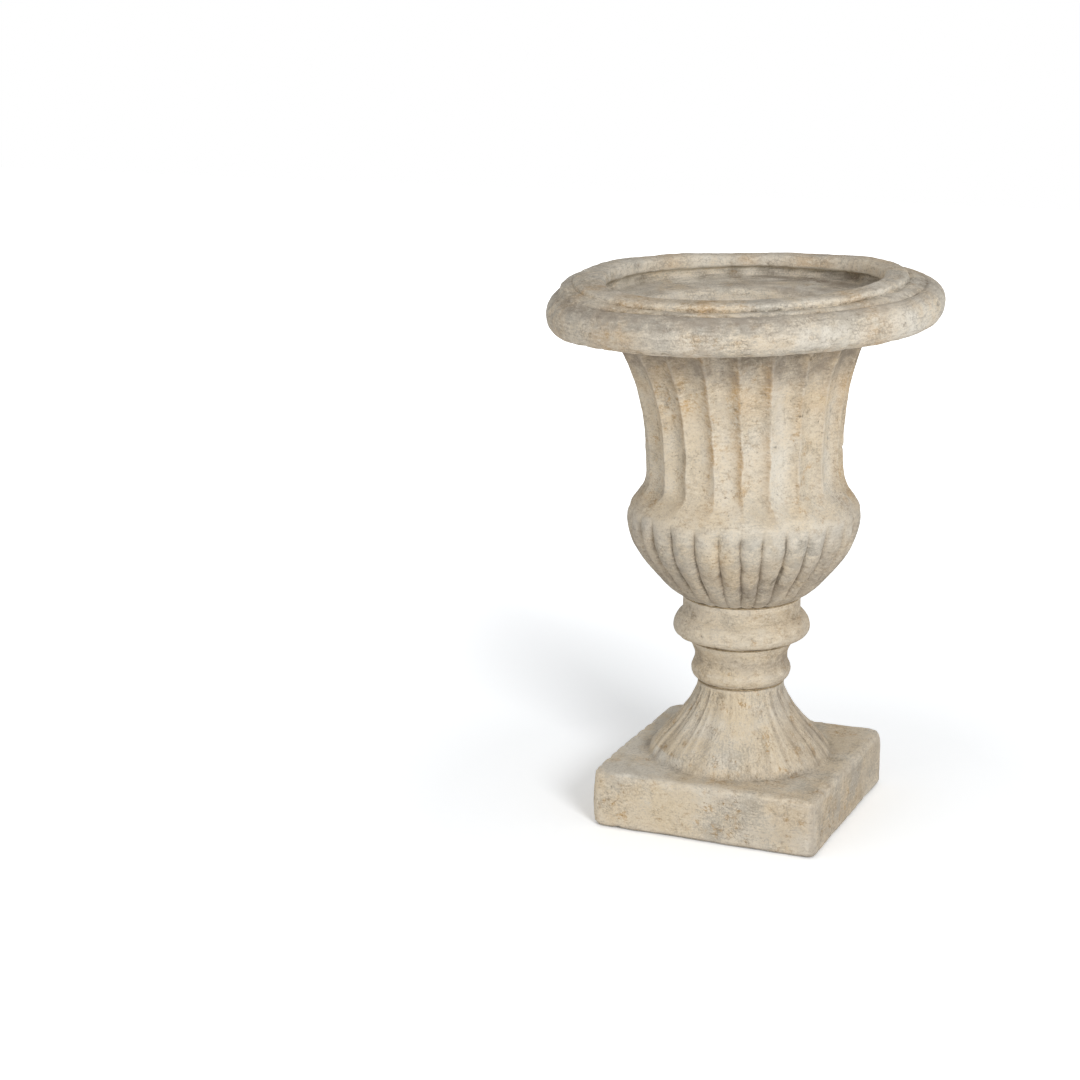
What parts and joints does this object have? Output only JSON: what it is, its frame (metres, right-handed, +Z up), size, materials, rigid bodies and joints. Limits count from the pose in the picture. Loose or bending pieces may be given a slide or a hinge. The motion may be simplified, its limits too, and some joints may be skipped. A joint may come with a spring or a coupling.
{
  "type": "urn planter",
  "caption": "Campana urn planter in aged cast stone with a rolled rim, fluted neck, gadrooned bowl, turned knop and square plinth, built in sections on a drain tube.",
  "frame": {"origin": "on the ground under the centre of the square plinth", "axes": "+Z up the urn's axis to the planting mouth; +X and +Y square to the plinth's sides"},
  "size_m": [0.442, 0.4419, 0.6245],
  "materials": {
    "cast_stone": "weathered matt",
    "bed_mortar": "raked mortar",
    "galvanised_steel": "hot dip galvanised",
    "brass_nut": "as machined",
    "pad_rubber": "matt",
    "screen_plastic": "matt"
  },
  "bodies": {
    "urn": {"foot_casting": "cast_stone", "collar_casting": "cast_stone", "knop_casting": "cast_stone", "bowl_casting": "cast_stone", "rim_casting": "cast_stone", "foot_bed": "bed_mortar", "collar_bed": "bed_mortar", "knop_bed": "bed_mortar", "rim_bed": "bed_mortar", "tie_tube": "galvanised_steel", "top_washer": "galvanised_steel", "anchor_plate": "galvanised_steel", "spring_washer": "galvanised_steel", "rim_dowels": "galvanised_steel", "rim_hoop": "galvanised_steel", "bowl_hoop": "galvanised_steel", "plinth_bars": "galvanised_steel", "top_nut": "brass_nut", "bottom_nut": "brass_nut", "floor_seal": "pad_rubber", "foot_pads": "pad_rubber"},
    "screen": {"drain_screen": "screen_plastic"}
  },
  "joints": [
    {"name": "screen_lift", "type": "slide", "parent": "urn", "child": "screen", "axis": [0, 0, 1], "range_m": [0, 0.42]}
  ]
}
